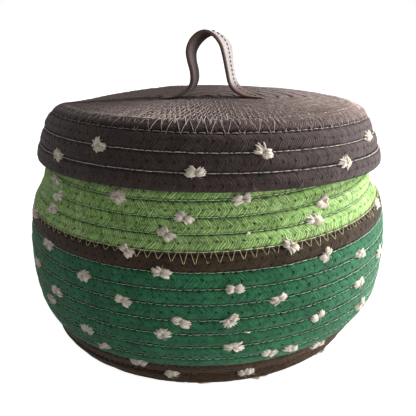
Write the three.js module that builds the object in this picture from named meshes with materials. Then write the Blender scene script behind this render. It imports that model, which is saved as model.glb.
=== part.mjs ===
// Round coiled-rope basket with a cap lid. One soft cotton rope is wound flat for the base,
// then row on row for the wall, in four stretches of colour, and a second rope makes the lid.
// A fluffy yarn is caught in the seams between the rows. A leather strap on the lid is its handle.
// Millimetres, +Z up, origin at the middle of the base on the table, the front towards -Y.
import * as THREE from 'three';

// Rope, flattened by the sewing: rows lie edge to edge, one row pitch apart
const ropeThickness = 6.5;
const rowPitch = 10;
const rowClearance = 0.5;
const buttClearance = 0.3;

// Body: a flat base, then rows of wall. A lean is in degrees from upright, outwards,
// at the middle of its row, and the seam over the band is sewn wider than the others.
const baseRadius = 101;
const cornerStart = 0.1;
const baseWallRows = 2;
const lowerWallRows = 7;
const bandRows = 1;
const upperWallRows = 5;
const wallLeans = [19, 32, 33, 17, 10, 8, 2, 0, -6, -11, -34, -27, -14, -17, -22];
const wideSeamExtra = 1;
const wideSeamRun = 0.35;

// Lid: a flat spiral with a slight dome, a corner row and rows of skirt, worn tipped back.
// Its top turns down just inside the middle of the wall's last row, which it rests on.
// Its leans are in degrees from level, downwards, at the middle of each row.
const lidRowPitch = 10.3;
const lidTopInset = 2;
const lidDomeAngle = 2.5;
const lidLeans = [32, 68, 72, 83];
const lidTipAngle = 4.1;
const lidSetBack = 5;
const lidSeatClearance = 0.5;

// Handle: a strap bent into a loop, its two feet flat on the lid. The path is that of the
// middle of its front edge, from left to right, and its height above the lid. The back edge
// stands further right, and at the top of the loop further right again and lower.
const strapPath = [
  [-31, 0], [-25, 0.1], [-20, 0.8], [-15, 2.8], [-11.2, 5.8], [-9.2, 10.5], [-9.4, 17],
  [-11.2, 24.5], [-11.9, 31], [-9.7, 38.2], [-4.6, 43.2], [0.5, 44], [5.4, 41], [10, 35.3],
  [12.2, 28], [14.2, 16.5], [16.2, 8.3], [19.5, 3.3], [24.5, 0.6], [30, 0], [37.5, 0],
];
const strapThickness = 2.5;
const strapWidth = 18;
const strapFront = 20.5;
const strapSkew = 3.2;
const strapTopSkew = 3.3;
const strapTopDrop = 2.2;
const strapTopSpan = [18, 44];
const strapSections = 32;
const strapSeatClearance = 0.3;

// Yarn: thin in the seam, with tufts. Depths are from the middle of the rope, outwards.
const yarnWidth = 1.2;
const yarnInnerDepth = 1.6;
const yarnOuterDepth = 3.1;
const tuftLength = 12;
const tuftNeckLength = 4;
const tuftHeight = 6.5;
const tuftInnerDepth = 2.5;
const tuftWidestDepth = 4.2;
const tuftOuterDepth = 6;
const tuftSpacing = 44;

// Tufts on the front half of each seam, in degrees from the front, positive to the right,
// from the lowest seam of the wall to the highest, and from the lid's upper seam down
const wallTufts = [
  [-10, 14], [-21, 38], [-32, 18], [-37, 7, 53], [-54, -12, 32], [-49, -7, 49], [-62, -23, 19, 63],
  [-36, 7, 49], [-53, -12, 34], [-68, -22, 23, 68], [-55, -11, 33, 76], [-54, -6, 38, 80],
  [-58, -27, 11],
];
const lidTufts = [[-33, 16, 63], [-51, -3, 44]];
const firstLidYarnRow = 1;

// At the back the skirt hangs over this many of the wall's seams, which have no tufts there
const seamsUnderLid = 2.1;

// Steps of a winding: a loop has this many, and half as many where it is small
const loopSteps = 22;
const smallLoopRadius = 50;
const tolerance = 1e-6;

const brownRope = new THREE.MeshStandardMaterial({ color: 0x46362f, roughness: 0.9, metalness: 0 });
const darkGreenRope = new THREE.MeshStandardMaterial({ color: 0x1f7a52, roughness: 0.9, metalness: 0 });
const lightGreenRope = new THREE.MeshStandardMaterial({ color: 0x92c96f, roughness: 0.9, metalness: 0 });
const bandRope = new THREE.MeshStandardMaterial({ color: 0x4d3c33, roughness: 0.9, metalness: 0 });
const lidRope = new THREE.MeshStandardMaterial({ color: 0x4a3c38, roughness: 0.92, metalness: 0 });
const creamYarn = new THREE.MeshStandardMaterial({ color: 0xe6dccd, roughness: 1, metalness: 0 });
const strapLeather = new THREE.MeshStandardMaterial({ color: 0x57423f, roughness: 0.5, metalness: 0 });

const { lerp, smoothstep, degToRad } = THREE.MathUtils;
const fullTurn = 2 * Math.PI;
const backAzimuth = Math.PI / 2;
const halfThickness = ropeThickness / 2;
const halfStep = 0.5 / loopSteps;

// A profile gives the radius, the height and the angle above level at a distance along it.
// Its angle runs evenly between marks of [distance, angle in degrees].
function makeProfile(marks, startHeight, length) {
  const step = 0.25;
  const angleAt = (along) => {
    const next = marks.findIndex((mark) => mark[0] > along);
    if (next < 0) return degToRad(marks[marks.length - 1][1]);
    if (next === 0) return degToRad(marks[0][1]);
    const [low, high] = [marks[next - 1], marks[next]];
    return degToRad(lerp(low[1], high[1], (along - low[0]) / (high[0] - low[0])));
  };
  const points = [{ radius: 0, height: startHeight, angle: angleAt(0) }];
  for (let along = step; along <= length + step; along += step) {
    const last = points[points.length - 1];
    const angle = angleAt(along);
    const middle = (last.angle + angle) / 2;
    points.push({
      radius: last.radius + step * Math.cos(middle),
      height: last.height + step * Math.sin(middle),
      angle,
    });
  }
  return (along) => {
    const place = Math.min(Math.max(along / step, 0), points.length - 1 - tolerance);
    const low = points[Math.floor(place)];
    const high = points[Math.floor(place) + 1];
    const share = place - Math.floor(place);
    return {
      radius: lerp(low.radius, high.radius, share),
      height: lerp(low.height, high.height, share),
      angle: lerp(low.angle, high.angle, share),
    };
  };
}

// A winding gives the section of its rope after any number of turns, counted from the middle
// and starting at the back. Sections stand on fixed azimuths and lie straight between them, so
// that neighbouring rows stay parallel. A shift moves the section along the profile.
function makeWinding(profile, distanceAt, outerSide) {
  const sectionOnGrid = (turns, shift) => {
    const azimuth = backAzimuth + turns * fullTurn;
    const { radius, height, angle } = profile(distanceAt(turns) + shift);
    const radial = new THREE.Vector3(Math.cos(azimuth), Math.sin(azimuth), 0);
    const up = new THREE.Vector3(0, 0, 1);
    return {
      centre: radial.clone().multiplyScalar(radius).setZ(height),
      across: radial.clone().multiplyScalar(Math.cos(angle)).addScaledVector(up, Math.sin(angle)),
      outwards: radial.clone().multiplyScalar(outerSide * Math.sin(angle))
        .addScaledVector(up, -outerSide * Math.cos(angle)),
    };
  };
  const stepsAt = (turns) => (distanceAt(turns) < smallLoopRadius ? loopSteps / 2 : loopSteps);
  const sectionAt = (turns, shift = 0) => {
    const steps = stepsAt(turns);
    const low = Math.floor(turns * steps + tolerance);
    const share = turns * steps - low;
    const section = sectionOnGrid(low / steps, shift);
    if (share > tolerance) {
      const next = sectionOnGrid((low + 1) / steps, shift);
      section.centre.lerp(next.centre, share);
      section.across.lerp(next.across, share);
      section.outwards.lerp(next.outwards, share);
    }
    return section;
  };
  const gridBetween = (from, to) => {
    const grid = [];
    let turns = from;
    while (turns < to - tolerance) {
      grid.push(turns);
      const steps = stepsAt(turns);
      turns = (Math.floor(turns * steps + tolerance) + 1) / steps;
    }
    return [...grid, to];
  };
  return { sectionAt, gridBetween };
}

// Closed tube through rings of points, with a flat end at each end
function tubeGeometry(rings) {
  const sides = rings[0].length;
  const positions = rings.flat().flatMap((point) => point.toArray());
  const triangles = [];
  for (let ring = 0; ring < rings.length - 1; ring += 1) {
    for (let side = 0; side < sides; side += 1) {
      const here = ring * sides + side;
      const beside = ring * sides + ((side + 1) % sides);
      triangles.push(here, beside, beside + sides, here, beside + sides, here + sides);
    }
  }
  const last = (rings.length - 1) * sides;
  for (let side = 1; side < sides - 1; side += 1) {
    triangles.push(0, side + 1, side, last, last + side, last + side + 1);
  }
  const geometry = new THREE.BufferGeometry();
  geometry.setAttribute('position', new THREE.Float32BufferAttribute(positions, 3));
  geometry.setIndex(signedVolume(positions, triangles) < 0 ? triangles.reverse() : triangles);
  geometry.computeVertexNormals();
  return geometry;
}

function signedVolume(positions, triangles) {
  let volume = 0;
  for (let index = 0; index < triangles.length; index += 3) {
    const [a, b, c] = [0, 1, 2].map((corner) => (
      new THREE.Vector3().fromArray(positions, 3 * triangles[index + corner])));
    volume += a.dot(b.cross(c)) / 6;
  }
  return volume;
}

function namedMesh(name, geometry, material) {
  const mesh = new THREE.Mesh(geometry, material);
  mesh.name = name;
  return mesh;
}

// Ring of points of a section, from its outline as [across, outwards] pairs
function ringOf(section, outline) {
  return outline.map(([across, outwards]) => section.centre.clone()
    .addScaledVector(section.across, across)
    .addScaledVector(section.outwards, outwards));
}

// Flattened rope: six sides, broad faces inside and outside, narrow edges to its neighbours
function ropeOutline(pitch) {
  const width = pitch - rowClearance;
  return [
    [width / 2, 0], [width / 4, halfThickness], [-width / 4, halfThickness],
    [-width / 2, 0], [-width / 4, -halfThickness], [width / 4, -halfThickness],
  ];
}

function printLeastGap(name, winding, from, to, outline, shift = 0) {
  const pointsPerEdge = 6;
  const pointsAt = (turns) => {
    const ring = ringOf(winding.sectionAt(turns, shift), outline);
    return ring.flatMap((corner, index) => Array.from({ length: pointsPerEdge }, (_, part) => (
      corner.clone().lerp(ring[(index + 1) % ring.length], part / pointsPerEdge))));
  };
  let least = Infinity;
  for (let turns = from; turns <= to - 1; turns += halfStep) {
    const above = pointsAt(turns + 1);
    for (const point of pointsAt(turns)) {
      for (const other of above) least = Math.min(least, point.distanceTo(other));
    }
  }
  console.log(`${name}: least gap to itself ${least.toFixed(2)} mm`);
}

// A flat spiral has the number of turns that leaves the smallest heart, and its middle loop
// starts where the rope's inner edge is next to the axis
function spiralTurns(radius, pitch) {
  return Math.round(radius / pitch);
}

function spiralStart(heart, pitch) {
  return (pitch / 2 - heart) / pitch;
}

// The soft rope is pressed flat where it would reach below what it lies on
function ropeMesh(name, winding, from, to, pitch, material, ground = -Infinity) {
  const outline = ropeOutline(pitch);
  const rings = winding.gridBetween(from, to).map((turns) => (
    ringOf(winding.sectionAt(turns), outline).map((p) => p.setZ(Math.max(p.z, ground)))));
  if (to - from > 1) printLeastGap(name, winding, from, to, outline);
  return namedMesh(name, tubeGeometry(rings), material);
}

// Body winding. The distance jumps by the width of the spiral's heart, so that the flat rows
// end at the base radius, and by the extra width of the seam over the band.
const baseTurns = spiralTurns(baseRadius, rowPitch);
const spiralHeart = baseRadius - baseTurns * rowPitch;
const wallStartTurn = baseTurns;
const lowerWallStart = wallStartTurn + baseWallRows;
const bandStart = lowerWallStart + lowerWallRows;
const upperWallStart = bandStart + bandRows;
const wallEnd = upperWallStart + upperWallRows;
const wallDistance = (turns) => spiralHeart + turns * rowPitch
  + wideSeamExtra * smoothstep(turns, upperWallStart, upperWallStart + wideSeamRun);
const rowsUnderWideSeam = baseWallRows + lowerWallRows + bandRows;
const wallMarks = wallLeans.map((lean, row) => [
  baseRadius + (row + 0.5) * rowPitch + (row < rowsUnderWideSeam ? 0 : wideSeamExtra), 90 - lean,
]);
const wallProfile = makeProfile(
  [[baseRadius - cornerStart * rowPitch, 0], ...wallMarks], halfThickness, wallDistance(wallEnd + 2));
const wallWinding = makeWinding(wallProfile, wallDistance, 1);

// Where one colour ends and the next begins, the ropes meet end to end half a step past the back
function wallRope(name, startTurn, endTurn, material) {
  const buttAt = (turns) => turns + halfStep;
  const backOff = (turns) => buttClearance / 2 / (fullTurn * wallProfile(wallDistance(turns)).radius);
  const from = startTurn === 0
    ? spiralStart(spiralHeart, rowPitch) : buttAt(startTurn) + backOff(startTurn);
  const to = buttAt(endTurn) - backOff(endTurn);
  return ropeMesh(name, wallWinding, from, to, rowPitch, material, 0);
}

// Lid winding, in the lid's own level frame with the middle of its rim rope at height 0
const lidTopRadius = wallProfile(wallDistance(wallEnd)).radius - lidTopInset;
const lidTopTurns = spiralTurns(lidTopRadius, lidRowPitch);
const lidHeart = lidTopRadius - lidTopTurns * lidRowPitch;
const lidDistance = (turns) => lidHeart + turns * lidRowPitch;
const lidEnd = lidTopTurns + lidLeans.length;
const lidMarks = [
  [0, 0], [lidTopRadius - cornerStart * lidRowPitch, -lidDomeAngle],
  ...lidLeans.map((lean, row) => [lidTopRadius + (row + 0.5) * lidRowPitch, -lean]),
];
const lidRise = makeProfile(lidMarks, 0, lidTopRadius)(lidTopRadius).height;
const lidProfile = makeProfile(lidMarks, -lidRise, lidDistance(lidEnd + 2));
const lidWinding = makeWinding(lidProfile, lidDistance, -1);

// The lid comes down on the highest point of the rim, the rope's end at the back. Both are
// cut there by the same upright plane, and the lid is lowered until the sections are clear by
// the seat clearance.
function lidSeatHeight() {
  const tip = degToRad(lidTipAngle);
  const toPlane = (point) => [
    point.y * Math.cos(tip) + point.z * Math.sin(tip) + lidSetBack,
    point.z * Math.cos(tip) - point.y * Math.sin(tip),
  ];
  const rim = ringOf(wallWinding.sectionAt(wallEnd), ropeOutline(rowPitch)).map((p) => [p.y, p.z]);
  const lidRings = [-2, -1, 0, 1].map((row) => (
    ringOf(lidWinding.sectionAt(lidTopTurns + row), ropeOutline(lidRowPitch)).map(toPlane)));
  let lift = -Infinity;
  for (const lidRing of lidRings) {
    lift = Math.max(lift, riseToClear(rim, lidRing, 1), riseToClear(lidRing, rim, -1));
  }
  return lift + lidSeatClearance;
}

// Most that the corners of one outline stand above the edges of another, or below for side -1
function riseToClear(corners, outline, side) {
  let rise = -Infinity;
  for (const [across, height] of corners) {
    outline.forEach(([startAcross, startHeight], index) => {
      const [endAcross, endHeight] = outline[(index + 1) % outline.length];
      const share = (across - startAcross) / (endAcross - startAcross);
      if (share < 0 || share > 1 || !Number.isFinite(share)) return;
      rise = Math.max(rise, side * (height - lerp(startHeight, endHeight, share)));
    });
  }
  return rise;
}

// Handle strap: rectangular sections along the path
function handleStrap() {
  const lidSurface = lidProfile(strapFront).height + halfThickness;
  const middleHeight = lidSurface + strapSeatClearance + strapThickness / 2;
  const path = new THREE.CatmullRomCurve3(
    strapPath.map(([x, rise]) => new THREE.Vector3(x, 0, middleHeight + rise)), false, 'centripetal');
  const rings = [];
  for (let index = 0; index <= strapSections; index += 1) {
    const share = index / strapSections;
    const middle = path.getPointAt(share);
    const along = path.getTangentAt(share);
    const outwards = new THREE.Vector3(-along.z, 0, along.x).multiplyScalar(strapThickness / 2);
    const top = smoothstep(middle.z - middleHeight, ...strapTopSpan);
    const front = middle.clone().setY(-strapFront);
    const back = front.clone().add(
      new THREE.Vector3(strapSkew + top * strapTopSkew, strapWidth, -top * strapTopDrop));
    rings.push([
      front.clone().add(outwards), front.clone().sub(outwards),
      back.clone().sub(outwards), back.clone().add(outwards),
    ]);
  }
  return namedMesh('handle_strap', tubeGeometry(rings), strapLeather);
}

// Yarn in a seam, which is half a row above its row. Between tufts it is thin and deep in the
// groove, and at a tuft it swells over the edges of both rows.
function yarnMesh(name, winding, fromRow, tuftsBySeam, pitch, openSeams) {
  const thin = {
    width: yarnWidth,
    inner: yarnInnerDepth,
    widest: (yarnInnerDepth + yarnOuterDepth) / 2,
    outer: yarnOuterDepth,
  };
  const swollen = {
    width: tuftHeight, inner: tuftInnerDepth, widest: tuftWidestDepth, outer: tuftOuterDepth,
  };
  const from = fromRow + halfStep;
  const to = fromRow + tuftsBySeam.length + halfStep;
  const stops = new Map(winding.gridBetween(from, to).map((turns) => [turns, thin]));
  tuftsBySeam.forEach((seamTufts, seam) => {
    for (const degrees of allRoundSeam(seamTufts)) {
      const turnsOfYarn = seam + 0.5 + degrees / 360;
      if (Math.abs(degrees) > 90 && turnsOfYarn > openSeams) continue;
      const turns = fromRow + turnsOfYarn;
      const { x, y } = winding.sectionAt(turns, pitch / 2).centre;
      const radius = Math.hypot(x, y);
      const halfTuft = tuftLength / 2 / (fullTurn * radius);
      const tuftNeck = tuftNeckLength / 2 / (fullTurn * radius);
      for (const turn of [...stops.keys()]) {
        if (Math.abs(turn - turns) < 1.1 * halfTuft && turn > from && turn < to) stops.delete(turn);
      }
      stops.set(turns - halfTuft, thin);
      stops.set(turns - tuftNeck, swollen);
      stops.set(turns + tuftNeck, swollen);
      stops.set(turns + halfTuft, thin);
    }
  });
  const outlineOf = ({ width, inner, widest, outer }) => (
    [[0, inner], [width / 2, widest], [0, outer], [-width / 2, widest]]);
  const rings = [...stops.keys()].sort((a, b) => a - b).map((turns) => (
    ringOf(winding.sectionAt(turns, pitch / 2), outlineOf(stops.get(turns)))));
  printLeastGap(name, winding, from, to, outlineOf(swollen), pitch / 2);
  return namedMesh(name, tubeGeometry(rings), creamYarn);
}

// The back half of a seam carries on with the tufts of its front half at an even spacing
function allRoundSeam(frontTufts) {
  const tufts = [...frontTufts];
  const first = frontTufts[0];
  let next = frontTufts[frontTufts.length - 1] + tuftSpacing;
  while (next < first + 360 - tuftSpacing / 2) {
    if (next > 90 && next < 270) tufts.push(next > 180 ? next - 360 : next);
    next += tuftSpacing;
  }
  return tufts;
}

const body = new THREE.Group();
body.add(wallRope('base_coil', 0, lowerWallStart, brownRope));
body.add(wallRope('lower_wall_coil', lowerWallStart, bandStart, darkGreenRope));
body.add(wallRope('band_coil', bandStart, upperWallStart, bandRope));
body.add(wallRope('upper_wall_coil', upperWallStart, wallEnd, lightGreenRope));
const openWallSeams = wallTufts.length - seamsUnderLid;
body.add(yarnMesh('wall_yarn', wallWinding, wallStartTurn, wallTufts, rowPitch, openWallSeams));

const lid = new THREE.Group();
const lidStart = spiralStart(lidHeart, lidRowPitch);
lid.add(ropeMesh('lid_coil', lidWinding, lidStart, lidEnd + halfStep, lidRowPitch, lidRope));
const lidYarnStart = lidTopTurns + firstLidYarnRow;
lid.add(yarnMesh('lid_yarn', lidWinding, lidYarnStart, lidTufts, lidRowPitch, lidTufts.length));
lid.add(handleStrap());
lid.rotation.x = -degToRad(lidTipAngle);
lid.position.set(0, lidSetBack, lidSeatHeight());

const basket = new THREE.Group();
basket.add(body, lid);

export default basket;
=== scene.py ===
import bpy
import numpy as np
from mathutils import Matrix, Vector


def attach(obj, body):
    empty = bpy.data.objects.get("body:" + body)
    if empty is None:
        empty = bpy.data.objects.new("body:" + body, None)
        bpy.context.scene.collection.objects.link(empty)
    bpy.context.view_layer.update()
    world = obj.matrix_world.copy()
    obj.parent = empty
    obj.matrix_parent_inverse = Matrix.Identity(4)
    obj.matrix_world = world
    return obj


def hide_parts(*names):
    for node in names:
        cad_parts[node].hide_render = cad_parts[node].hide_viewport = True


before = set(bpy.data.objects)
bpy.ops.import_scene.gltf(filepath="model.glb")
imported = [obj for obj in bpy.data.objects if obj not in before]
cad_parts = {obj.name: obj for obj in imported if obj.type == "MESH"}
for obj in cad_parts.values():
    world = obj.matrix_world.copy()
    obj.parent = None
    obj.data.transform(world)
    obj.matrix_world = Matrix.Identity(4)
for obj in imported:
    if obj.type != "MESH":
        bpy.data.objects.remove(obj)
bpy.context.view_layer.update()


# Base coil: brown braided cotton rope, wound flat from the middle and up into the two lowest
# rows of wall. The ropes are modelled with the strands of their braid, one piece per loop, and
# lengths are in millimetres until a mesh is made.
MM = 0.001
ROW = 10
ROPE_WIDTH = 9.9
ROPE_THICKNESS = 6.5
# Turns are counted from the middle, and each begins at the back. The rope starts a little way out.
FLAT_TURNS = 10
BASE_START = 0.4
BASE_END = 12
BASE_FROM_MIDDLE = 1
BASE_RADIUS = BASE_FROM_MIDDLE + FLAT_TURNS * ROW
# Two ropes meet end to end a little past the back.
BUTT = 0.5 / 22
# The wall's last brown row ends after this many turns, and the seam above it is a little wider.
BAND_END = 20
BAND_GAP = 1
MOST_TURNS = 26
SECTIONS_PER_TURN = 200
PROFILE_STEP = 0.25
WALL_PROFILE = 285


def unit(vectors):
    return vectors / np.linalg.norm(vectors, axis=-1, keepdims=True)


def smoothstep(value, low, high):
    share = np.clip((value - low) / (high - low), 0, 1)
    return share * share * (3 - 2 * share)


def waves(at, sizes, seed):
    """A smooth random curve between -1 and 1, from waves of these lengths."""
    phases = np.random.default_rng(seed).uniform(0, 2 * np.pi, len(sizes))
    return sum(np.sin(2 * np.pi * at / size + phase) for size, phase in zip(sizes, phases)) / len(sizes)


def profile(marks, start_height, length):
    """A function from distances along a profile to its radius, height and angle above level.

    The marks are its angles, in degrees, at some of the distances."""
    along = np.arange(0, length, PROFILE_STEP)
    angle = np.radians(np.interp(along, *np.transpose(marks)))
    middle = (angle[1:] + angle[:-1]) / 2
    radius = np.concatenate(([0], np.cumsum(PROFILE_STEP * np.cos(middle))))
    height = start_height + np.concatenate(([0], np.cumsum(PROFILE_STEP * np.sin(middle))))
    return lambda at: [np.interp(at, along, values) for values in (radius, height, angle)]


class Winding:
    """Rope sections after any number of turns from the back, in the basket's frame."""

    def __init__(
            self, profile_at, distance_at, outer_side, settle, row, width, body,
            tip=0, offset=(0, 0, 0)):
        self.profile_at = profile_at
        self.distance_at = distance_at
        self.outer_side = outer_side
        self.settle = settle
        self.row = row
        self.width = width
        self.body = body
        tip = np.radians(tip)
        self.turned = np.array(
            [[1, 0, 0], [0, np.cos(tip), np.sin(tip)], [0, -np.sin(tip), np.cos(tip)]])
        self.offset = np.array(offset)
        self.table_turns = np.linspace(0, MOST_TURNS, SECTIONS_PER_TURN * MOST_TURNS + 1)
        steps = np.linalg.norm(np.diff(self.sections(self.table_turns)[0], axis=0), axis=1)
        self.table_length = np.concatenate(([0], np.cumsum(steps)))

    def length_at(self, turns):
        return np.interp(turns, self.table_turns, self.table_length)

    def turns_at(self, length):
        return np.interp(length, self.table_length, self.table_turns)

    def sections(self, turns, shift=0):
        """Centres, directions across the row and directions outwards."""
        turns = np.atleast_1d(np.asarray(turns, float))
        radius, height, angle = self.profile_at(self.distance_at(turns) + shift)
        azimuth = np.radians(90 + 360 * turns)
        zero = 0 * azimuth
        radial = np.stack((np.cos(azimuth), np.sin(azimuth), zero), -1)
        up = np.stack((zero, zero, zero + 1), -1)
        centre = radius[:, None] * radial + height[:, None] * up
        across = np.cos(angle)[:, None] * radial + np.sin(angle)[:, None] * up
        outwards = self.outer_side * (np.sin(angle)[:, None] * radial - np.cos(angle)[:, None] * up)
        centre = self.settle(centre @ self.turned.T + self.offset)
        return centre, across @ self.turned.T, outwards @ self.turned.T


def settled_wall(points):
    """The soft wall isn't quite round or upright: it sags to the left at its foot."""
    x, y, z = points.T
    wider = np.interp(
        z, (0, 15, 35, 55, 80, 105, 118, 130, 142),
        (0.01, 0.024, 0.028, 0.018, 0.008, 0.006, 0.016, 0.016, 0))
    aside = np.interp(
        z, (0, 9, 22, 35, 55, 85, 120, 150),
        (-2.9, -2.3, 0.2, 1.2, 1.0, 0.9, -0.3, 0.2))
    nearer = np.interp(z, (0, 30), (-2.6, 0))
    lean = np.interp(z, (10, 24, 100, 150), (0, 0.019, 0.010, 0.010)) * x
    sunk = np.interp(z, (20, 100), (0, 1.0))
    return np.stack((x * (1 + wider) + aside, y + nearer, z + lean - sunk), -1)


# How far each row of wall leans out from upright, in degrees, from the lowest to the rim.
wall_leans = (19, 32, 33, 17, 10, 8, 2, 0, -6, -11, -34, -27, -14, -17, -22)
wall_marks = [(BASE_RADIUS - 0.1 * ROW, 0)] + [
    (BASE_RADIUS + (row + 0.5) * ROW + BAND_GAP * (row >= BAND_END - FLAT_TURNS), 90 - lean)
    for row, lean in enumerate(wall_leans)]
wall = Winding(
    profile(wall_marks, ROPE_THICKNESS / 2, WALL_PROFILE),
    lambda turns: (
        BASE_FROM_MIDDLE + ROW * turns + BAND_GAP * smoothstep(turns, BAND_END, BAND_END + 0.35)),
    outer_side=1, settle=settled_wall, row=ROW, width=ROPE_WIDTH, body="basket")


class Wire:
    """An output in a material's node tree, and what can be worked out from it."""

    def __init__(self, tree, socket):
        self.tree = tree
        self.socket = socket

    def node(self, kind, settings=None, inputs=None, output=0):
        node = self.tree.nodes.new(kind)
        for name, value in (settings or {}).items():
            setattr(node, name, value)
        for name, value in (inputs or {}).items():
            if isinstance(value, Wire):
                self.tree.links.new(value.socket, node.inputs[name])
            else:
                node.inputs[name].default_value = value
        return Wire(self.tree, node.outputs[output])

    def maths(self, operation, *values):
        return self.node("ShaderNodeMath", {"operation": operation}, dict(enumerate(values)))

    def __add__(self, other):
        return self.maths("ADD", self, other)

    def __radd__(self, other):
        return self.maths("ADD", other, self)

    def __sub__(self, other):
        return self.maths("SUBTRACT", self, other)

    def __rsub__(self, other):
        return self.maths("SUBTRACT", other, self)

    def __mul__(self, other):
        return self.maths("MULTIPLY", self, other)

    def __rmul__(self, other):
        return self.maths("MULTIPLY", other, self)

    def sine(self):
        return self.maths("SINE", self)

    def floor(self):
        return self.maths("FLOOR", self)

    def between(self, low, high):
        """0 at or below low, 1 at or above high."""
        return self.node("ShaderNodeMapRange", {"clamp": True}, {0: self, 1: low, 2: high})

    def mix(self, first, second):
        """From the first colour at 0 to the second at 1."""
        return self.node(
            "ShaderNodeMix", {"data_type": "RGBA"}, {"Factor": self, 6: first, 7: second}, output=2)


class Material:
    """A material whose surface is one Principled shader."""

    def __init__(self, name, **uniform):
        self.material = bpy.data.materials.new(name)
        self.material.use_nodes = True
        tree = self.material.node_tree
        self.surface = tree.nodes["Principled BSDF"]
        self.start = Wire(tree, None)
        for key, value in uniform.items():
            self.surface.inputs[key.replace("_", " ")].default_value = value

    def attribute(self, name):
        return self.start.node("ShaderNodeAttribute", {"attribute_name": name}, output="Fac")

    def noise(self, scale, detail):
        """Clouds of about 1 / scale metres."""
        place = self.start.node("ShaderNodeTexCoord", output="Object")
        return self.start.node(
            "ShaderNodeTexNoise", None, {"Scale": scale, "Detail": detail, "Vector": place})

    def chance(self, number):
        """A value between 0 and 1 for each whole number."""
        return self.start.node("ShaderNodeTexWhiteNoise", {"noise_dimensions": "1D"}, {"W": number})

    def feed(self, name, wire):
        self.start.tree.links.new(wire.socket, self.surface.inputs[name])

    def bump(self, height, distance):
        self.feed("Normal", self.start.node(
            "ShaderNodeBump", None, {"Strength": 1.0, "Distance": distance, "Height": height}))


def colour(red, green, blue):
    """A colour for a shader from the 0 to 255 values that a screen shows."""
    shares = np.array((red, green, blue)) / 255
    linear = np.where(shares <= 0.04045, shares / 12.92, ((shares + 0.055) / 1.055) ** 2.4)
    return (*linear.tolist(), 1.0)


def rope_material(name, strand, gap, worn, faded=None, fuzz=0.14):
    """Braided cotton: light on top of the strands, with painted shade between them and along the
    seams between rows, and with fuzz and fine threads.

    Its colours are those of clean strands, of the painted shade in the gaps between strands, of
    worn strands and, where painted light lightens the rope, of all its strands."""
    rope = Material(
        name, Roughness=0.85, Sheen_Weight=fuzz, Sheen_Roughness=0.4, Specular_IOR_Level=0.2)
    relief = rope.attribute("relief")
    tone_of_strand = rope.attribute("tone")
    # Each whole number of the phase is a thread of a strand, some fuller or more worn than others.
    phase = rope.attribute("phase") + rope.noise(230, 1) * 1.4
    mottle = rope.noise(60, 3)
    fine = rope.noise(700, 2)
    worn_off = rope.noise(240, 2).between(0.35, 0.6)
    each = rope.chance((phase + 0.25).floor() + tone_of_strand * 13)
    ridge = (phase * (2 * np.pi)).sine() * 0.5 + 0.5
    threads = ridge * (0.35 + 0.65 * each) * (0.6 + 0.4 * worn_off)
    height = relief * (0.38 + 0.85 * threads) * (0.85 + 0.2 * tone_of_strand)
    lit = (height + fine * 0.9 - 0.45).between(0.1, 0.9)
    tone = mottle.between(0.35, 0.65).mix(colour(*strand), colour(*worn))
    # Painted light: where the rope faces up, its colour moves towards the lightest one.
    if faded:
        tone = rope.attribute("faded").mix(tone, colour(*faded))
    # Painted shade along the seams between rows darkens the rope there.
    seam_shade = 0.6 * rope.attribute("seam")
    rope.feed("Base Color", (lit * (1 - seam_shade)).mix(colour(*gap), tone))
    rope.bump(threads + fine * 0.5, 0.0003)
    return rope.material


def skin(rings, corners):
    """Faces between each ring of points and the next, all with the same number of corners."""
    ring, corner = np.divmod(np.arange((rings - 1) * corners), corners)
    beside = (corner + 1) % corners
    here, there = ring * corners, (ring + 1) * corners
    return np.stack((here + corner, here + beside, there + beside, there + corner), -1)


def closed_skin(rings, corners):
    """The same, with faces across both ends. The number of corners is even."""
    low = np.arange(1, corners // 2)
    high = corners - 1 - low
    end = np.stack((high + 1, high, low, low - 1), -1)
    return np.concatenate((skin(rings, corners), end, end[:, ::-1] + (rings - 1) * corners))


def mesh_piece(name, points, faces, body, slot, material, replaces=(), uv=None, **attributes):
    """A smooth mesh of four-sided faces, from points in millimetres, that moves with its body."""
    mesh = bpy.data.meshes.new(name)
    mesh.vertices.add(len(points))
    mesh.vertices.foreach_set("co", (points * MM).astype(np.float32).ravel())
    mesh.loops.add(faces.size)
    mesh.loops.foreach_set("vertex_index", faces.astype(np.int32).ravel())
    mesh.polygons.add(len(faces))
    mesh.polygons.foreach_set("loop_start", np.arange(0, faces.size, 4, dtype=np.int32))
    mesh.update(calc_edges=True)
    mesh.shade_smooth()
    if uv is not None:
        layer = mesh.uv_layers.new(name="OFBake")
        layer.uv.foreach_set("vector", uv.astype(np.float32).ravel())
    for key, values in attributes.items():
        mesh.attributes.new(key, "FLOAT", "POINT").data.foreach_set(
            "value", np.asarray(values, np.float32).ravel())
    mesh.materials.append(material)
    piece = bpy.data.objects.new(name, mesh)
    bpy.context.scene.collection.objects.link(piece)
    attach(piece, body)
    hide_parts(*replaces)


# The braid: strands of five threads in six columns round the rope, 48 points to a section.
STRAND_LENGTH = 7.6
STRAND_HEIGHT = 0.8
THREADS = 5
COLUMNS = 6
COLUMN_WIDTH = 4.7
SLANT = 3.3
AROUND = 48
SECTION_STEP = 0.48


def rope_outline(width, thickness, squareness):
    """Points, normals and length round a flattened rope, from the middle of its outer side."""
    turn = np.linspace(0, 2 * np.pi, 4001)
    x = width / 2 * np.sign(np.sin(turn)) * np.abs(np.sin(turn)) ** squareness
    y = thickness / 2 * np.sign(np.cos(turn)) * np.abs(np.cos(turn)) ** squareness
    length = np.concatenate(([0], np.cumsum(np.hypot(np.diff(x), np.diff(y)))))
    at = length[-1] * np.arange(AROUND) / AROUND
    points = np.stack((np.interp(at, length, x), np.interp(at, length, y)), -1)
    tangents = unit(np.roll(points, -1, 0) - np.roll(points, 1, 0))
    return points, np.stack((-tangents[:, 1], tangents[:, 0]), -1), length[-1]


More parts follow.
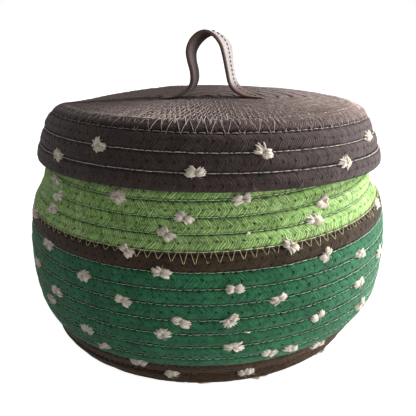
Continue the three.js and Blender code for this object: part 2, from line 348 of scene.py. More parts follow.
def braid(length):
    """Height of the strands, 0 to 1, the phase of their threads and their tone, round each section.

    A strand crosses a column at a slant, and the next column's strands lean the other way. Where
    they meet, between one strand and the next, is a small hole."""
    drift = 0.3 * waves(length, (170, 74, 410), 5) + 0.1 * waves(length, (9, 13, 21), 7)
    place = np.arange(AROUND)[None, :] * COLUMNS / AROUND + drift[:, None]
    stretch = length + 1.2 * waves(length, (47, 29, 83, 14), 6)
    column = np.floor(place)
    share = place - column - 0.5
    slant = SLANT * share * np.where(column % 2 == 0, 1.0, -1.0)
    at = (stretch[:, None] + slant) / STRAND_LENGTH + 0.06 * np.sin(7.1 * column)
    number = np.floor(at + 0.5)
    edge = 2 * np.abs(at - number)
    chance = np.mod(np.abs(np.sin(12.99 * number + 78.23 * column)) * 4375.85, 1)
    to_hole = np.hypot((1 - edge) * STRAND_LENGTH / 2, (0.5 - np.abs(share)) * COLUMN_WIDTH)
    hole = 1 - (1 - smoothstep(to_hole, 0.25, 1.05)) * (0.3 + 0.7 * chance)
    height = (1 - 0.15 * edge ** 8) * (1 - 0.15 * (2 * np.abs(share)) ** 8) * (0.88 + 0.12 * chance)
    return height * hole, at * THREADS - np.floor(at.min()) * THREADS, np.mod(7 * chance, 1)


def rope_uv(steps, bands):
    """Places in the picture of a baked rope, which is cut into bands that lie side by side."""
    ring, corner = np.divmod(np.arange(steps * AROUND), AROUND)
    per_band = -(-steps // bands)
    band = ring // per_band
    u_low, u_high = [(edge - band * per_band) / per_band for edge in (ring, ring + 1)]
    v_low, v_high = [(band + 0.01 + 0.98 * edge / AROUND) / bands for edge in (corner, corner + 1)]
    return np.stack((u_low, v_low, u_low, v_high, u_high, v_high, u_high, v_low), -1)


def rope_piece(name, winding, start, end, slot, material, node, worn_flat, open_end):
    """One stretch of rope, pushed in and out by its braid. An open end is rounded off."""
    squareness, wobble_size, seam_shade_start = (0.5, 0.15, 0.15) if worn_flat else (0.59, 0.3, 0.34)
    outline, normals, girth = rope_outline(winding.width, ROPE_THICKNESS, squareness)
    first, last = winding.length_at(start), winding.length_at(end)
    steps = max(8, int(round((last - first) / SECTION_STEP)))
    length = np.linspace(first, last, steps + 1)
    centre, across, outwards = winding.sections(winding.turns_at(length))
    wobble = waves(length, (31, 57, 13.7, 91, 22.3), 3)[:, None]
    shrink = 1.0
    if open_end:
        shrink = np.sqrt(np.clip(1 - np.clip((length - last + 3) / 3, 0, 1) ** 2, 0.02, 1))[:, None]
    relief, phase, tone = braid(length)
    push = STRAND_HEIGHT * (relief - 0.9)
    x = (outline[:, 0] + push * normals[:, 0]) * shrink
    y = (outline[:, 1] + push * normals[:, 1]) * shrink + wobble_size * wobble
    points = centre[:, None] + x[..., None] * across[:, None] + y[..., None] * outwards[:, None]
    points[..., 2] = np.maximum(points[..., 2], 0)
    # Painted shade along the seams between rows, from the rope's edges inwards.
    seam = smoothstep(np.abs(outline[:, 0]), seam_shade_start * winding.width, 0.5 * winding.width)
    # Painted light: what faces up is lightened, most of all at the right and the back.
    # Only the lid's ropes show it.
    faded = smoothstep(points[..., 0], -30, 105) * np.clip(outwards[:, 2:], 0, 1) * (
        0.3 + 0.7 * smoothstep(points[..., 1], -85, -10))
    bands = max(1, int(round(((last - first) / girth) ** 0.5)))
    mesh_piece(
        name, points.reshape(-1, 3), skin(steps + 1, AROUND), winding.body, slot, material, (node,),
        rope_uv(steps, bands), relief=relief, phase=phase, tone=tone,
        seam=np.broadcast_to(seam, relief.shape), faded=faded)


def rope_run(name, winding, start, end, slot, material, node, worn_flat=False, open_end=False):
    """A rope cut at the back of each of its turns, where no cut shows."""
    cuts = [start, *[turn for turn in range(MOST_TURNS) if start + 0.3 < turn < end - 0.3], end]
    for number, (low, high) in enumerate(zip(cuts, cuts[1:]), 1):
        rope_piece(
            f"{name}_{number:02d}", winding, low, high, slot, material, node, worn_flat,
            open_end and high == end)


brown = rope_material(
    "brown_rope", strand=(82, 58, 34), gap=(13, 8, 3), worn=(71, 49, 29), fuzz=0.05)
rope_run("base_rope", wall, BASE_START, BASE_END + BUTT, "brown_rope", brown, "base_coil")


# Lower wall: seven rows of the same braided cotton rope in dark green, sewn on top of the base
# coil, with which it meets end to end at the back.
LOWER_WALL_END = 19
dark_green = rope_material(
    "dark_green_rope", strand=(54, 130, 87), gap=(2, 19, 11), worn=(46, 117, 78))
rope_run(
    "lower_wall_rope", wall, BASE_END + BUTT, LOWER_WALL_END + BUTT, "dark_green_rope", dark_green,
    "lower_wall_coil")


# Band: one row of brown cotton rope between the greens, a little greyer than that of the base,
# and sewn to the row below like the others.
band_brown = rope_material(
    "band_rope", strand=(73, 58, 40), gap=(11, 7, 4), worn=(64, 50, 35), fuzz=0.08)
rope_run(
    "band_rope", wall, LOWER_WALL_END + BUTT, BAND_END + BUTT, "brown_rope", band_brown, "band_coil")


# Upper wall: five rows of light green cotton rope, drawn in to the neck that carries the lid.
# Its cut end at the back is the end of the whole winding.
RIM = 25
light_green = rope_material(
    "light_green_rope", strand=(188, 223, 143), gap=(26, 48, 14), worn=(168, 210, 122))
rope_run(
    "upper_wall_rope", wall, BAND_END + BUTT, RIM, "light_green_rope", light_green,
    "upper_wall_coil", open_end=True)


# Lid coil: dark brown cotton rope, wound flat from the middle and down over a corner into three
# rows of skirt. The top is worn flat. Painted light lightens what faces up, most on the top, less
# on the corner and least on the skirt, so these are lit copies of one rope. The lid is tipped back
# by four degrees.
LID_ROW = 10.3
LID_ROPE_WIDTH = 10.4
LID_START = 0.63
# The top, the corner row and the skirt end after this many turns.
LID_TOP = 10
LID_CORNER = 11
LID_END = 14
LID_FROM_MIDDLE = -4.23
LID_TOP_EDGE = LID_FROM_MIDDLE + LID_TOP * LID_ROW
LID_TOP_SLOPE = 2.5
LID_PROFILE = 165
LID_TIP = 4.1
LID_PLACE = (0, 5, 158.45)
LID_ASIDE = 0.6


def settled_lid(points):
    """The lid's skirt stands out a little more at the right and hangs lower at the left, and its
    top isn't quite flat."""
    x, y, z = points.T
    lower = smoothstep(150 - z, 0, 35)
    sag = np.interp(x, (-118, -85, -60, -30, 0, 60, 100), (7, 5, 2.8, 0.4, 0, 0.6, 2))
    sag = sag * smoothstep(y, -40, 50) * smoothstep(z, 130, 150)
    sag = sag + np.interp(z, (122, 155), (1, 0)) * (1 - smoothstep(y, 0, 60)) * (2.6 - 0.011 * x)
    skirt_aside = lower * np.interp(x, (-110, 0, 110), (-1.4, 0, 4))
    aside = LID_ASIDE + skirt_aside + 0.8 * smoothstep(x, 40, 110)
    return np.stack((x + aside, y, z - sag), -1)


# How far the corner and each row of skirt slope down from level, in degrees.
lid_slopes = (32, 68, 72, 83)
lid_marks = [(0, 0), (LID_TOP_EDGE - 0.1 * LID_ROW, -LID_TOP_SLOPE)] + [
    (LID_TOP_EDGE + (row + 0.5) * LID_ROW, -slope) for row, slope in enumerate(lid_slopes)]
lid_rise = float(profile(lid_marks, 0, LID_PROFILE)(LID_TOP_EDGE)[1])
lid = Winding(
    profile(lid_marks, -lid_rise, LID_PROFILE), lambda turns: LID_FROM_MIDDLE + LID_ROW * turns,
    outer_side=-1, settle=settled_lid, row=LID_ROW, width=LID_ROPE_WIDTH, body="lid",
    tip=LID_TIP, offset=LID_PLACE)
lid_top_brown = rope_material(
    "lid_top_rope", strand=(68, 51, 45), gap=(13, 8, 7), worn=(76, 53, 45),
    faded=(172, 152, 148), fuzz=0.03)
lid_corner_brown = rope_material(
    "lid_corner_rope", strand=(70, 54, 51), gap=(14, 10, 8), worn=(74, 57, 52),
    faded=(146, 122, 118))
lid_brown = rope_material(
    "lid_rope", strand=(68, 53, 52), gap=(13, 9, 9), worn=(76, 61, 57), faded=(108, 91, 93))
rope_run(
    "lid_top_rope", lid, LID_START, LID_TOP + BUTT, "lid_rope", lid_top_brown, "lid_coil",
    worn_flat=True)
rope_run(
    "lid_corner_rope", lid, LID_TOP + BUTT, LID_CORNER + BUTT, "lid_rope", lid_corner_brown,
    "lid_coil")
rope_run(
    "lid_skirt_rope", lid, LID_CORNER + BUTT, LID_END + BUTT, "lid_rope", lid_brown, "lid_coil",
    open_end=True)


# Seam stitches: cotton sewing thread that holds each row to the next, brown in the base, pale
# green in the greens, straw-coloured above the band and cream on the lid. It lies in the seams in
# stitches of a few millimetres, and dips into the rope between them.
CORNERS = 6
# Places along a stitch, from 0 at its start to 1 at its end, and how deep both ends dip.
STITCH_SHARES = np.linspace(0, 1, 7)
STITCH_DIP = 1.1
random = np.random.default_rng(11)


def tubes(centres, radii):
    """Points and faces of round closed tubes, from their middle lines (tube, ring, xyz)."""
    count, rings, _ = centres.shape
    tangents = unit(np.gradient(centres, axis=1))
    off_every_line = (0.31, 0.52, 0.8)
    side = unit(np.cross(tangents[:, 0], off_every_line))
    turned = []
    for ring in range(rings):
        tangent = tangents[:, ring]
        side = unit(side - tangent * np.sum(side * tangent, -1, keepdims=True))
        turned.append((side, np.cross(tangent, side)))
    side, other = np.swapaxes(np.array(turned), 0, 1).transpose(0, 2, 1, 3)
    angle = 2 * np.pi * np.arange(CORNERS) / CORNERS
    points = centres[:, :, None] + np.broadcast_to(radii, (count, rings))[..., None, None] * (
        np.cos(angle)[:, None] * side[:, :, None] + np.sin(angle)[:, None] * other[:, :, None])
    faces = closed_skin(rings, CORNERS)[None] + np.arange(count)[:, None, None] * rings * CORNERS
    return points.reshape(-1, 3), faces.reshape(-1, 4)


def thread_material(name, light, dark):
    """Sewing thread with a faint twist; each thread has its own shade."""
    thread = Material(name, Roughness=0.6, Sheen_Weight=0.2, Specular_IOR_Level=0.3)
    thread.feed("Base Color", thread.attribute("shade").mix(colour(*dark), colour(*light)))
    thread.bump(thread.noise(1500, 1), 0.0001)
    return thread.material


def thread_piece(name, centres, radii, body, slot, material, replaces=(), shade=None):
    """Threads along these middle lines, from dark at shade 0 to light at 1, or at random."""
    points, faces = tubes(centres, radii)
    count, rings, _ = centres.shape
    if shade is None:
        shade = random.uniform(0.3, 1.0, count)
    mesh_piece(
        name, points, faces, body, slot, material, replaces, shade=np.repeat(shade, rings * CORNERS))


def seam_stitches(winding, turn, sizes, gap, depth, radius, shift=0.0):
    """Middle lines and radii of the stitches in the seam that follows one turn of the rope.

    Their lengths go round the sizes, and the shift takes them out of the seam's middle."""
    first, last = winding.length_at(turn + BUTT), winding.length_at(turn + 1 + BUTT)
    ends = []
    at = first
    while at < last:
        size = sizes[len(ends) % len(sizes)] * random.uniform(0.85, 1.15)
        ends.append((at, at + size))
        at += size + gap * random.uniform(0.7, 1.4)
    ends = np.array(ends)
    share = STITCH_SHARES
    length = ends[:, :1] + (ends[:, 1:] - ends[:, :1]) * share
    count, rings = length.shape
    aside = shift + random.normal(0, 0.08, (count, 1))
    sway = aside + random.normal(0, 0.08, (count, 1)) * (share - 0.5)
    centre, across, outwards = winding.sections(winding.turns_at(length.ravel()), winding.row / 2)
    sink = depth - STITCH_DIP * np.abs(2 * share - 1) ** 5 + random.normal(0, 0.08, (count, 1))
    path = centre + across * sway.ravel()[:, None] + outwards * sink.ravel()[:, None]
    return path.reshape(count, rings, 3), radius * (1 - 0.35 * np.abs(2 * share - 1) ** 4)


brown_thread = thread_material("brown_thread", light=(112, 90, 74), dark=(70, 52, 42))
green_thread = thread_material("pale_green_thread", light=(206, 222, 198), dark=(124, 166, 134))
lime_thread = thread_material("pale_lime_thread", light=(208, 228, 180), dark=(150, 186, 118))
cream_thread = thread_material("cream_thread", light=(236, 222, 210), dark=(176, 158, 146))
straw_thread = thread_material("straw_thread", light=(232, 224, 170), dark=(186, 174, 120))
# For the seams before each turn: the thread, its stitches' lengths, how far out from the rope's
# middle it lies, its radius, and how far above the middle of the seam it lies.
first_turn = FLAT_TURNS
for past_turn, thread, sizes, depth, radius, shift in (
        (BASE_END, brown_thread, (3.6, 3.0), 2.7, 0.2, 0.0),
        (LOWER_WALL_END, green_thread, (4.2, 3.0, 4.6, 2.2), 2.95, 0.17, 0.0),
        (BAND_END, straw_thread, (6.2, 6.6), 3.1, 0.2, 1.5),
        (RIM - 1, lime_thread, (3.4, 2.6, 3.8), 3.15, 0.22, 0.2)):
    for turn in range(first_turn, past_turn):
        centres, radii = seam_stitches(
            wall, turn, sizes, gap=0.45, depth=depth, radius=radius, shift=shift)
        thread_piece(
            f"wall_seam_{turn - FLAT_TURNS + 1:02d}", centres, radii, "basket", "cream_yarn", thread,
            ("wall_yarn",))
    first_turn = past_turn
# A filling lies behind the wider seam above the band, where the inside would show between rows.
# It has the thread's darkest brown, painted shade for that gap.
gap_turns = np.linspace(BAND_END - 0.6 + BUTT, BAND_END + 0.6 + BUTT, 500)
gap_centre, _, gap_out = wall.sections(gap_turns, 0.5 * ROW + 0.5 * BAND_GAP)
thread_piece(
    "band_filling", (gap_centre - 0.6 * gap_out)[None], 1.3, "basket", "brown_rope", brown_thread,
    ("wall_yarn",), np.zeros(1))
for number, turn in enumerate((LID_CORNER, LID_CORNER + 1), 1):
    centres, radii = seam_stitches(lid, turn, (4.2, 1.7, 4.6), gap=0.5, depth=2.95, radius=0.17)
    thread_piece(
        f"lid_seam_{number}", centres, radii, "lid", "cream_yarn", cream_thread, ("lid_yarn",))


# Zigzag stitches: a straw-coloured thread sewn from side to side over the seam above the brown
# band, and a beige one over the lid's corner and, twice over, over the seams of its top. A plain
# seam of the beige thread runs on each side of the corner.
def zigzag(winding, start, end, length, foot, head, depth, jitter, gap=0.0):
    """Middle lines of stitches of two legs, which meet in a point at head and stand apart at foot.

    Both are distances from the seam, and head may be a function of the turns."""
    first, last = winding.length_at(start), winding.length_at(end)
    tips = np.arange(first, last, length)
    tips = tips + random.normal(0, 0.07 * length, tips.shape)
    reach = (0.5 - gap / 2) * length * random.uniform(0.85, 1.1, (2, len(tips)))
    feet = np.concatenate((tips - reach[0], tips + reach[1]))
    tips = np.concatenate((tips, tips))
    head = head(winding.turns_at(tips)) if callable(head) else head
    head = head + random.normal(0, jitter, len(tips) // 2).repeat(2).reshape(-1, 2).T.ravel()
    foot = foot + random.normal(0, jitter, len(tips))
    share = STITCH_SHARES
    along = feet[:, None] + (tips - feet)[:, None] * share
    shift = foot[:, None] + (head - foot)[:, None] * share
    centre, _, outwards = winding.sections(
        winding.turns_at(along.ravel()), winding.row / 2 + shift.ravel())
    near = np.abs(np.mod(shift / winding.row + 0.5, 1) - 0.5) * 2
    lift = depth - 0.75 * (1 - near) ** 3 - 0.8 * np.abs(2 * share - 1) ** 9
    path = centre + outwards * lift.ravel()[:, None]
    return path.reshape(len(tips), len(share), 3)


def hanging(turns):
    """How far the stitches reach down the band: furthest at the front, least at the left."""
    degrees = (turns - (BAND_END - 0.5)) * 360
    return -1.4 - 1.9 * smoothstep(degrees, -32, 4) - 2.2 * np.exp(-((degrees + 3) / 13) ** 2)


centres = zigzag(
    wall, LOWER_WALL_END + BUTT, BAND_END + BUTT, length=6.8, foot=1.3, head=hanging, depth=3.4,
    jitter=0.45, gap=0.3)
thread_piece("band_zigzag", centres, 0.115, "basket", "cream_yarn", straw_thread, ("wall_yarn",))


def threads_painted_light(centres):
    """Painted light on the lid's threads: light at the front and right, rope-coloured at the back."""
    x, y, _ = centres.mean(1).T
    return smoothstep(0.9 * x - y, -20, 110) * random.uniform(0.4, 1.0, len(x))


# The lid's threads below carry painted light: lighter at the front and right.
beige_thread = thread_material("beige_thread", light=(206, 184, 174), dark=(70, 52, 46))
centres = zigzag(
    lid, LID_TOP + BUTT, LID_CORNER + BUTT, length=8.4, foot=0.6, head=-10, depth=3.45,
    jitter=0.6, gap=0.05)
thread_piece(
    "lid_corner_zigzag", centres, 0.12, "lid", "cream_yarn", beige_thread, ("lid_yarn",),
    0.3 + 0.7 * threads_painted_light(centres))
for name, turn, sizes, gap, radius, darkest, range_of_shade in (
        ("lid_corner_seam", LID_TOP - 1, (3.6, 2.4), 0.5, 0.22, 0.3, 0.7),
        ("lid_corner_hem", LID_TOP, (4.4, 3.2), 0.4, 0.24, 0.2, 0.3)):
    centres, radii = seam_stitches(lid, turn, sizes, gap, depth=2.9, radius=radius)
    thread_piece(
        name, centres, radii, "lid", "cream_yarn", beige_thread, ("lid_yarn",),
        darkest + range_of_shade * threads_painted_light(centres))
for turn in range(1, LID_TOP):
    for layer in (1, 2):
        centres = zigzag(
            lid, turn, turn + 1, length=3.0, foot=-4.8, head=4.8, depth=3.5, jitter=1.4)
        centres = centres[centres.mean(1)[:, 1] < random.uniform(-30, 15, len(centres))]
        thread_piece(
            f"lid_top_zigzag_{turn}_{layer}", centres, 0.13, "lid", "cream_yarn", beige_thread,
            ("lid_yarn",), threads_painted_light(centres))


# Tufts: ends of cream slub yarn caught in the seams. Each stands out in two or three lobes of
# thick soft strands from the stitch that pinches it, with finer fibres round them. Pairs of
# values are the least and the most, and a lobe's width and the tufts' spacing are in degrees.
LOBE_REACH = (5.2, 6.6)
LOBE_WIDTH = (68, 96)
LOBE_STRANDS = 8
STRAND_RADIUS = (0.5, 0.72)
FIBRES = 8
FIBRE_RADIUS = 0.13
TUFT_SPACING = 44

yarn = Material(
    "cream_yarn", Roughness=0.95, Sheen_Weight=0.4, Subsurface_Weight=0.15,
    Subsurface_Radius=(0.002, 0.0015, 0.001), Specular_IOR_Level=0.1)
yarn_fluff = yarn.noise(1100, 3)
yarn_tone = (yarn.attribute("shade") * 0.7 + yarn_fluff * 0.8 - 0.3).between(0, 1)
yarn.feed("Base Color", yarn_tone.mix(colour(186, 174, 158), colour(246, 236, 222)))
yarn.bump(yarn_fluff, 0.0004)


def tuft_strands(winding, turns):
    """Middle lines and radii of the strands and fibres of one tuft."""
    centre, across, outwards = [values[0] for values in winding.sections(turns, winding.row / 2)]
    along = np.cross(outwards, across)
    share = np.linspace(0, 1, 9)
    swelling = 0.6 + 0.5 * share ** 0.6 - 0.75 * share ** 6
    paths, radii = [], []

    def add_path(angle, out, sideways, flatness, droop, rise):
        """Adds a path that runs out at an angle over the rope, and rises from it."""
        flat_along = out * np.cos(angle) - sideways * np.sin(angle)
        flat_across = out * np.sin(angle) * flatness + sideways * np.cos(angle) - droop
        paths.append(centre + flat_along[:, None] * along + flat_across[:, None] * across
                     + rise[:, None] * outwards)

    base = random.uniform(-40, 40)
    headings = [base, base + 180] + ([base + random.choice((-85, 85))] if random.random() < 0.4 else [])
    for lobe, heading in enumerate(headings):
        heading += random.uniform(-20, 20)
        reach = random.uniform(*LOBE_REACH) * (0.85 if lobe == 2 else 1)
        width = random.uniform(*LOBE_WIDTH)
        for layer in (0, 1):
            for strand in range(LOBE_STRANDS - layer):
                beside = (strand + 0.5 * layer) / (LOBE_STRANDS - 1) - 0.5
                angle = np.radians(heading + beside * width + random.uniform(-4, 4))
                size = reach * (1 - 0.5 * beside ** 2) * random.uniform(0.72, 1.12) * (1 - 0.12 * layer)
                bend = random.uniform(-0.6, 0.6)
                sideways = 2.6 * beside * (1 - share) + bend * share ** 2
                rise = 1.7 + 0.8 * layer + random.uniform(0.9, 2.2) * np.sin(np.pi * share ** 0.7 * 0.85)
                add_path(angle, 0.4 + size * share, sideways, 0.9, 0.3 * share ** 2, rise)
                radii.append(random.uniform(*STRAND_RADIUS) * swelling
                             * (1 + 0.1 * np.sin(share * 14 + random.uniform(0, 6))))
    for _ in range(FIBRES):
        angle = random.uniform(0, 2 * np.pi)
        size = random.uniform(3.5, 6.0)
        curl = random.uniform(-1.5, 1.5) * share ** 2
        rise = 3.0 + random.uniform(0.8, 2.6) * np.sin(np.pi * share * random.uniform(0.5, 0.9))
        add_path(angle, size * share, curl, 0.7, 0.0, rise)
        radii.append(FIBRE_RADIUS * (1 - 0.6 * share))
    return np.array(paths), np.array(radii)


def tufts(name, winding, first_turn, seams, node, open_seams=0):
    """One piece per seam, with tufts at these degrees from the front, from left to right.

    The back half of the first seams, as many as are open, gets evenly spaced tufts."""
    for number, front in enumerate(seams):
        places = list(front)
        if number < open_seams:
            full_circle = front[0] + 360 - TUFT_SPACING / 2
            evenly = np.arange(front[-1] + TUFT_SPACING, full_circle, TUFT_SPACING)
            places += [at for at in evenly if 90 < at < 270]
        strands = [tuft_strands(winding, first_turn + number + 0.5 + place / 360) for place in places]
        centres = np.concatenate([paths for paths, _ in strands])
        radii = np.concatenate([sizes for _, sizes in strands])
        points, faces = tubes(centres, radii)
        points[:, 2] = np.maximum(points[:, 2], 0.1)
        shade = np.repeat(random.uniform(0, 1.0, len(centres)), centres.shape[1] * CORNERS)
        mesh_piece(
            f"{name}_{number + 1:02d}", points, faces, winding.body, "cream_yarn", yarn.material,
            (node,), shade=shade)


tufts("wall_tufts", wall, FLAT_TURNS, (
    (-10, 14), (-21, 38), (-32, 18, 25), (-37, 7, 53), (-54, -12, 32), (-49, -7, 6, 49),
    (-62, -23, 19, 63), (-36, 7, 49), (-53, -12, 34), (-68, -22, 23, 68), (-55, -11, 33, 76),
    (-54, -6, 38, 80), (-58, -27, 11)), "wall_yarn", open_seams=11)
tufts("edge_tufts", wall, FLAT_TURNS - 1, ((1.5, 21, 49),), "wall_yarn")
tufts("lid_tufts", lid, LID_CORNER, ((-33, 16, 63), (-51, -3, 44)), "lid_yarn", open_seams=2)


# Loose ends: a few cut ends of rust-coloured sewing thread that hang from under the lid, and two
# bits of cream fluff on the wall. They are held by the stitches that they come out of.
def loose_end(name, places, body, thread, shade, radius=0.16):
    """A thread through places given as winding, turns, distance from the row's middle and depth."""
    points = []
    for winding, turns, shift, depth in places:
        centre, _, outwards = winding.sections(turns, shift)
        points.append(centre[0] + depth * outwards[0])
    points = np.array(points)
    at = np.linspace(0, len(points) - 1, 16)
    path = np.stack([np.interp(at, range(len(points)), values) for values in points.T], -1)
    path[1:-1] = (path[:-2] + 2 * path[1:-1] + path[2:]) / 4
    path += np.stack([0.3 * waves(at, (1.1, 2.3), axis) for axis in range(3)], -1)
    thread_piece(name, path[None], radius, body, "cream_yarn", thread, (), np.array([shade]))


rust_thread = thread_material("rust_thread", light=(124, 72, 54), dark=(34, 24, 20))
loose_end("loose_end_1", (
    (lid, 13.534, 1.8, 4), (lid, 13.538, 6, 5.8), (wall, 23.5448, -3.5, 8), (wall, 22.5448, 0, 4)),
    "basket", rust_thread, shade=0.8, radius=0.2)
loose_end("loose_end_2", (
    (lid, 13.573, 1.8, 3.7), (lid, 13.5735, 3.0, 4.6), (lid, 13.571, 3.6, 3.7)),
    "lid", rust_thread, shade=1.0)
loose_end("fluff_1", (
    (wall, 20.531, 3.0, 3.2), (wall, 20.532, 4.6, 5.2), (wall, 20.5335, 4.2, 3.4)),
    "basket", cream_thread, shade=1.0, radius=0.4)
loose_end("fluff_2", (
    (wall, 15.5275, -4.6, 3.2), (wall, 15.529, -3.6, 4.8), (wall, 15.531, -4.8, 3.4)),
    "basket", cream_thread, shade=1.0, radius=0.4)
loose_end("loose_end_3", (
    (wall, 23.583, -2.5, 3.9), (wall, 22.585, 3.5, 4.4), (wall, 22.587, 1.2, 3.8)),
    "basket", rust_thread, shade=0.0)


# Handle: a strap of dark leather, bent into a loop and sewn to the lid by its two feet. Its
# face is smooth and shiny, its back suede and its cut edges dark. The path is that of its front
# edge's middle, from left to right, and its height above the lid.
STRAP_WIDTH = 18
STRAP_THICKNESS = 2.5
STRAP_FRONT = 20.5
STRAP_CLEARANCE = 0.3
STRAP_SECTIONS = 120
STRAP_CORNERS = 48
# How much further right the back edge stands, and at the top of the loop how much further still
# and how much lower. The left foot lies a little nearer than the right one.
BACK_EDGE_SHIFT = 4.8
TOP_SHIFT = 3.3
TOP_DROP = 2.2
LEFT_FOOT_NEARER = 4
strap_path = np.array((
    (-31, 0), (-25, 0.1), (-20, 0.8), (-15.6, 2.8), (-12.4, 5.8), (-10.6, 10.5), (-10.8, 17),
    (-12.6, 24.5), (-13.4, 31), (-11.2, 37.8), (-6.2, 42.8), (-1.4, 44.0), (3.9, 41.4), (8.4, 35.6),
    (10.8, 28), (13.2, 16.5), (15.2, 8.3), (19, 3.3), (24.5, 0.6), (30, 0), (37.5, 0)))


def between_knots(at, start, end, low, high):
    """On the straight line from low at start to high at end."""
    return (end - at) / (end - start) * low + (at - start) / (end - start) * high


def smooth_path(points, count):
    """Evenly spaced points of a centripetal curve through the points."""
    padded = np.vstack((2 * points[0] - points[1], points, 2 * points[-1] - points[-2]))
    knots = np.concatenate(([0], np.cumsum(np.linalg.norm(np.diff(padded, axis=0), axis=1) ** 0.5)))
    fine = []
    for first in range(len(padded) - 3):
        near = knots[first:first + 4]
        at = np.linspace(near[1], near[2], 40, endpoint=False)[:, None]
        level = padded[first:first + 4]
        for reach in (1, 2):
            level = [between_knots(at, near[low], near[low + reach], level[low], level[low + 1])
                     for low in range(4 - reach)]
        fine.append(between_knots(at, near[1], near[2], *level))
    fine = np.vstack(fine + [padded[-2:-1]])
    length = np.concatenate(([0], np.cumsum(np.linalg.norm(np.diff(fine, axis=0), axis=1))))
    at = np.linspace(0, length[-1], count)
    return np.stack([np.interp(at, length, fine[:, axis]) for axis in (0, 1)], -1)


def strap_point(path, across, out):
    """Point of the strap in the basket's frame, across from its front edge, out from its middle.

    The back edge stands further right, and lower at the top of the loop, and the left foot lies
    nearer. The ends are pared thin."""
    tangent = unit(np.gradient(path, axis=0))
    normal = np.stack((-tangent[:, 1], tangent[:, 0]), -1)
    leaning = smoothstep(path[:, 1], 18, 44)
    from_end = np.minimum(np.arange(len(path)), np.arange(len(path))[::-1])
    thinned = np.interp(from_end, (0, 5, 15), (0.2, 0.4, 1))[:, None, None]
    out = -STRAP_THICKNESS / 2 + (out + STRAP_THICKNESS / 2) * thinned
    across = across * np.interp(from_end, (0, 3, 12), (0.25, 0.5, 1))[:, None]
    flat = path[:, None] * (1, 0.975) + out * normal[:, None]
    back_shift = BACK_EDGE_SHIFT + 0.05 * path[:, 0] + TOP_SHIFT * leaning
    x = flat[..., 0] + across / STRAP_WIDTH * back_shift[:, None]
    y = across - STRAP_FRONT - LEFT_FOOT_NEARER * smoothstep(-path[:, :1], 8, 20)
    z = flat[..., 1] + strap_middle - across / STRAP_WIDTH * TOP_DROP * leaning[:, None]
    level = np.stack((x, y, z), -1)
    return level @ lid.turned.T + lid.offset + (LID_ASIDE, 0, 0)


strap_under = float(lid.profile_at(STRAP_FRONT)[1]) + ROPE_THICKNESS / 2 + STRAP_CLEARANCE
strap_middle = strap_under + STRAP_THICKNESS / 2
strap_line = smooth_path(strap_path, STRAP_SECTIONS)
corner_turn = np.linspace(0, 2 * np.pi, STRAP_CORNERS, endpoint=False)
strap_side = STRAP_WIDTH / 2 * np.sign(np.cos(corner_turn)) * np.abs(np.cos(corner_turn)) ** 0.22
strap_across = STRAP_WIDTH / 2 + strap_side
strap_out = STRAP_THICKNESS / 2 * np.sign(np.sin(corner_turn)) * np.abs(np.sin(corner_turn)) ** 0.45
strap_points = strap_point(strap_line, strap_across[None, :], strap_out[None, :, None])
strap_faces = closed_skin(STRAP_SECTIONS, STRAP_CORNERS)[:, (0, 3, 2, 1)]

leather = Material("strap_leather", Coat_Roughness=0.22)
leather_out = leather.attribute("out")
leather_grain = leather.noise(700, 3)
leather_cloud = leather.noise(120, 3)
standing = leather.attribute("standing")
# Painted highlight: the standing face is pale for its shine, and the feet keep the leather's dark brown.
face_tone = leather_cloud.mix(colour(112, 103, 101), colour(144, 135, 133))
foot_tone = leather_cloud.mix(colour(62, 44, 38), colour(84, 62, 55))
back_tone = leather_cloud.mix(colour(98, 84, 84), colour(138, 122, 122))
# Painted shade darkens the back of the strap towards the top of the loop.
back_tone = leather.attribute("arched").mix(back_tone, colour(66, 54, 50))
flat_tone = leather_out.between(0.35, 0.65).mix(back_tone, standing.mix(foot_tone, face_tone))
leather_edge = leather.attribute("edge")
leather_face = leather_out.between(0.4, 0.6) * (1 - leather_edge)
leather.feed("Base Color", leather_edge.mix(flat_tone, colour(62, 43, 37)))
leather.feed("Roughness", 0.85 - standing * leather_face * 0.4)
leather.feed("Coat Weight", standing * leather_face * 0.8)
leather.bump(leather_grain, 0.00015)
every_point = (STRAP_SECTIONS, STRAP_CORNERS)
mesh_piece(
    "strap", strap_points.reshape(-1, 3), strap_faces, "lid", "strap_leather", leather.material,
    ("handle_strap",), out=np.broadcast_to(strap_out / STRAP_THICKNESS + 0.5, every_point),
    edge=np.broadcast_to(smoothstep(np.abs(strap_side), 7.2, 8.2), every_point),
    standing=np.repeat(smoothstep(strap_line[:, 1], 3, 12), STRAP_CORNERS),
    arched=np.repeat(smoothstep(strap_line[:, 1], 24, 42), STRAP_CORNERS))

# One row of stitches runs along the strap's middle. Their spacing and length are in sections of
# the strap, and their height is from its middle, so that they stand a little out of its face.
STITCH_SPACING = 2.8
STITCH_LENGTH = 1.7
STITCH_HEIGHT = 1.45
stitch_starts = np.arange(6, STRAP_SECTIONS - 6, STITCH_SPACING)
stitch_at = stitch_starts[:, None] + STITCH_LENGTH * np.linspace(0, 1, 5)
stitch_line = strap_point(
    strap_line, np.array([[STRAP_WIDTH / 2]]), np.full((1, 1, 1), STITCH_HEIGHT))[:, 0]
stitch_paths = np.stack(
    [np.interp(stitch_at, np.arange(STRAP_SECTIONS), values) for values in stitch_line.T], -1)
strap_thread = thread_material("strap_thread", light=(70, 54, 48), dark=(34, 24, 22))
thread_piece(
    "strap_stitches", stitch_paths, 0.42, "lid", "strap_leather", strap_thread, ("handle_strap",))


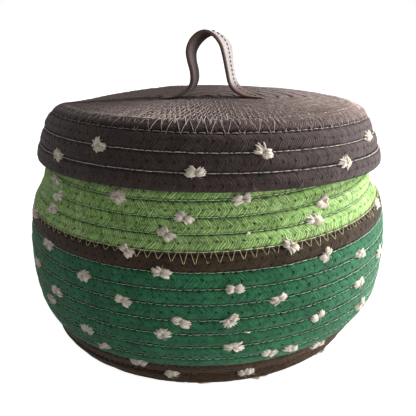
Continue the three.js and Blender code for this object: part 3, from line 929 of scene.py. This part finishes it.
# Camera, as the photograph was taken: from 46 cm in front of the basket's axis and 25 cm above
# the table, looking down by 20 degrees. Lengths from here on are in metres.
camera = bpy.data.objects.new("camera", bpy.data.cameras.new("camera"))
bpy.context.scene.collection.objects.link(camera)
camera.location = (0.0013, -0.460, 0.249)
camera.rotation_euler = (np.radians(90 - 20.13), 0, 0)
camera.data.lens = 56.77
camera.data.sensor_width = 36
camera.data.clip_start = 0.01
bpy.context.scene.camera = camera


# Studio: a pale floor and backdrop, a small light high at the right that draws the shadows, and
# a broad low one from the right and a little in front.
FLOOR_HALF = 4
floor_mesh = bpy.data.meshes.new("floor")
floor_mesh.from_pydata(
    [(x * FLOOR_HALF, y * FLOOR_HALF, 0) for x, y in ((-1, -1), (1, -1), (1, 1), (-1, 1))],
    [], [(0, 1, 2, 3)])
floor_material = Material("floor", Roughness=0.9, Base_Color=(0.8, 0.8, 0.8, 1), Emission_Strength=1)


def seen_directly(start):
    """1 where the camera, or a reflection, looks at the backdrop, and 0 where it lights the basket."""
    rays = [start.node("ShaderNodeLightPath", output=name)
            for name in ("Is Camera Ray", "Is Glossy Ray", "Is Transmission Ray")]
    return (rays[0] + rays[1] + rays[2]).between(0, 1)


floor_material.feed("Emission Color", (seen_directly(floor_material.start) * 0.9).mix(
    (0, 0, 0, 1), (1, 1, 1, 1)))
floor_mesh.materials.append(floor_material.material)
floor = bpy.data.objects.new("floor", floor_mesh)
bpy.context.scene.collection.objects.link(floor)


def area_light(name, place, aim, size, power):
    light = bpy.data.lights.new(name, "AREA")
    light.shape = "DISK"
    light.size = size
    light.energy = power
    lamp = bpy.data.objects.new(name, light)
    bpy.context.scene.collection.objects.link(lamp)
    lamp.location = place
    lamp.rotation_euler = (Vector(aim) - Vector(place)).to_track_quat("-Z", "Y").to_euler()


area_light("key", place=(0.385, 0.04, 0.37), aim=(0, 0, 0.11), size=0.08, power=3.65)
area_light("side", place=(0.80, -0.3, 0.15), aim=(0, 0, 0.09), size=0.5, power=6.5)

world = bpy.data.worlds.new("studio")
bpy.context.scene.world = world
world.use_nodes = True
background = world.node_tree.nodes["Background"]
background.inputs["Color"].default_value = (1, 1, 1, 1)
strength = seen_directly(Wire(world.node_tree, None)) * 0.67 + 0.33
world.node_tree.links.new(strength.socket, background.inputs["Strength"])

bpy.context.scene.view_settings.view_transform = "Standard"
